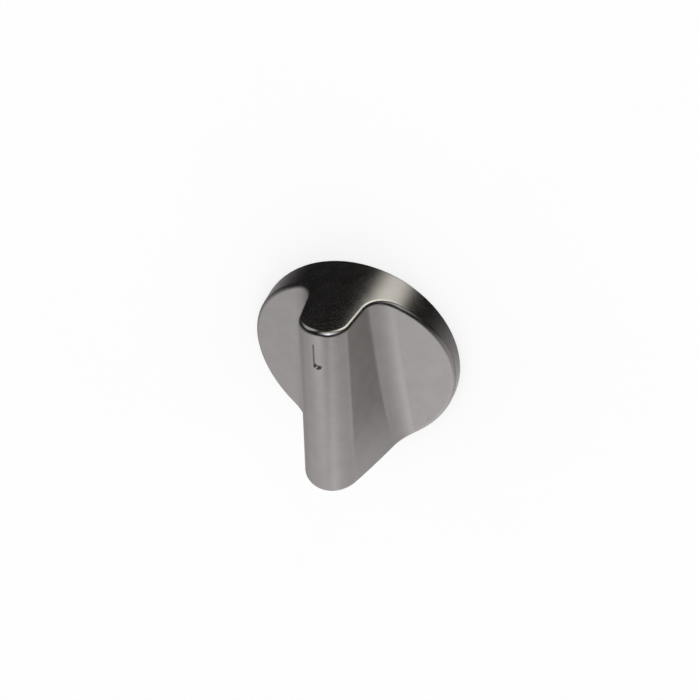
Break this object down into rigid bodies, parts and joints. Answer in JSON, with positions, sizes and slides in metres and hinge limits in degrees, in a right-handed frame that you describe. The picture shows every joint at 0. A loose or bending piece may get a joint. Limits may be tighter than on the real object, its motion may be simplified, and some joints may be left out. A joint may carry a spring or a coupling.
{
  "type": "stove knob",
  "caption": "Push-on stove knob: round skirt with a wedge-shaped bar grip and a pointer groove, satin metal shell over a moulded hub with a D socket.",
  "frame": {"origin": "centre of the plane that the back rim lies in", "axes": "+Z is the turning axis, from the panel out to the hand; +Y is the way the pointer groove points; +X is across the grip"},
  "size_m": [0.048, 0.048, 0.024],
  "materials": {
    "shell_metal": "satin plated zinc casting",
    "hub_plastic": "moulded dark plastic",
    "clip_steel": "bright spring steel"
  },
  "bodies": {
    "root": {"knob_shell": "shell_metal", "hub_insert": "hub_plastic", "stem_clip": "clip_steel"}
  },
  "joints": []
}
